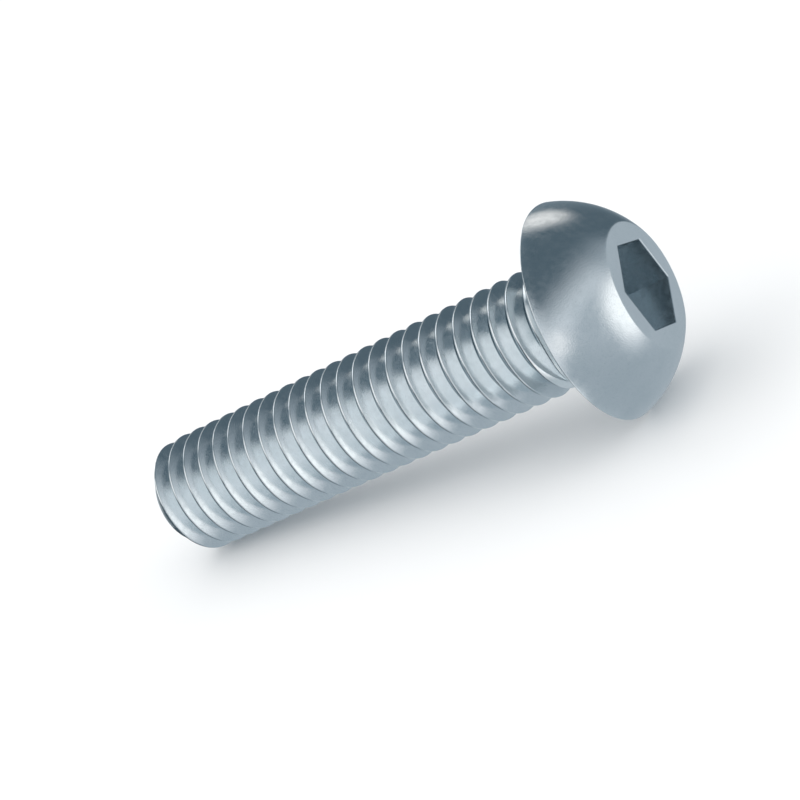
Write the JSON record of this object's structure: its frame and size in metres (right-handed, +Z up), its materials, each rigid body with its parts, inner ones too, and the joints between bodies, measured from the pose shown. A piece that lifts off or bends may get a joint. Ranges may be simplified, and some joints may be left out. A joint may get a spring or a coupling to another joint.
{
  "type": "button head socket screw",
  "caption": "Metric screw with a low domed head, a hexagonal key socket and a thread that runs up to a short plain neck.",
  "frame": {"origin": "on the screw's axis, in the flat face under the head", "axes": "+Z up; the screw lies on its side with its head towards +X, on the head's rim and the last crests near the tip, so its axis slopes up by 5.4 degrees towards the head"},
  "size_m": [0.0287, 0.0104, 0.0105],
  "materials": {
    "zinc_plated_steel": "bright zinc plating with a faint blue passivation"
  },
  "bodies": {
    "root": {"screw": "zinc_plated_steel"}
  },
  "joints": []
}
